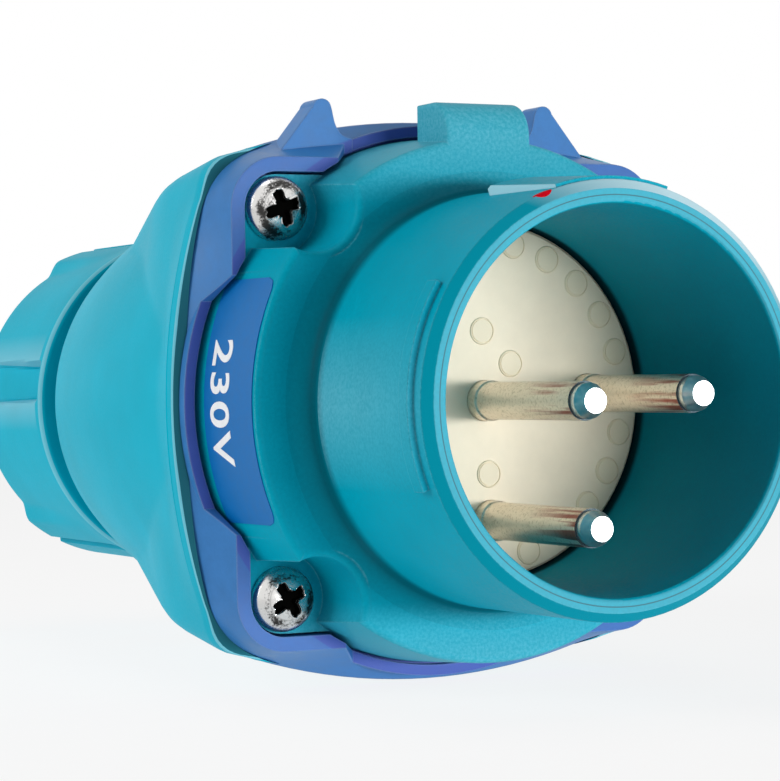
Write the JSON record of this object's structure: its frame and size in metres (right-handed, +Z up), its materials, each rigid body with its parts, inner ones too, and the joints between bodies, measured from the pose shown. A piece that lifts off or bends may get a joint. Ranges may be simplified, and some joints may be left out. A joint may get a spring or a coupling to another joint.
{
  "type": "industrial pin and sleeve plug",
  "caption": "Teal industrial pin and sleeve plug: open round shroud with contact pins on a cream insulator, blue bumper frame, domed handle and lobed gland nut.",
  "frame": {"origin": "on the plug axis, on the earth pin, in the plane of the drum's front face", "axes": "+Y along the plug axis from the open shroud towards the gland nut, +Z up through the latch catch, +X towards the right contact pin"},
  "size_m": [0.0772, 0.168, 0.0796],
  "materials": {
    "casing_plastic": "moulded, fine mottle",
    "handle_plastic": "moulded, satin",
    "frame_plastic": "moulded, satin",
    "insulator_plastic": "moulded, matt",
    "contact_metal": "nickel plated, satin",
    "tip_metal": "ground",
    "screw_steel": "zinc plated",
    "seal_rubber": "matt",
    "ring_plastic": "matt"
  },
  "bodies": {
    "plug": {"inlet_casing": "casing_plastic", "handle_body": "handle_plastic", "bumper_frame": "frame_plastic", "contact_insulator": "insulator_plastic", "retaining_ring": "insulator_plastic", "earth_pin": "contact_metal", "right_pin": "contact_metal", "lower_pin": "contact_metal", "earth_contact_tip": "tip_metal", "right_contact_tip": "tip_metal", "lower_contact_tip": "tip_metal", "earth_terminal_screw": "screw_steel", "right_terminal_screw": "screw_steel", "lower_terminal_screw": "screw_steel", "flange_screw_1": "screw_steel", "flange_screw_2": "screw_steel", "flange_screw_3": "screw_steel", "flange_screw_4": "screw_steel", "insulator_seal": "seal_rubber", "gland_seal": "seal_rubber"},
    "gland_slide": {"slip_ring": "ring_plastic"},
    "gland_nut": {"gland_nut": "handle_plastic"}
  },
  "joints": [
    {"name": "gland_travel", "type": "slide", "parent": "plug", "child": "gland_slide", "axis": [0, 1, 0], "range_m": [0, 0.012]},
    {"name": "gland_nut_turn", "type": "hinge", "parent": "gland_slide", "child": "gland_nut", "pos_m": [0, 0.11969, 0], "axis": [0, 1, 0], "range_deg": [0, 1440]}
  ],
  "couplings": [
    {"joint": "gland_travel", "follows": "gland_nut_turn", "m_per_rad": 0.00047746}
  ]
}
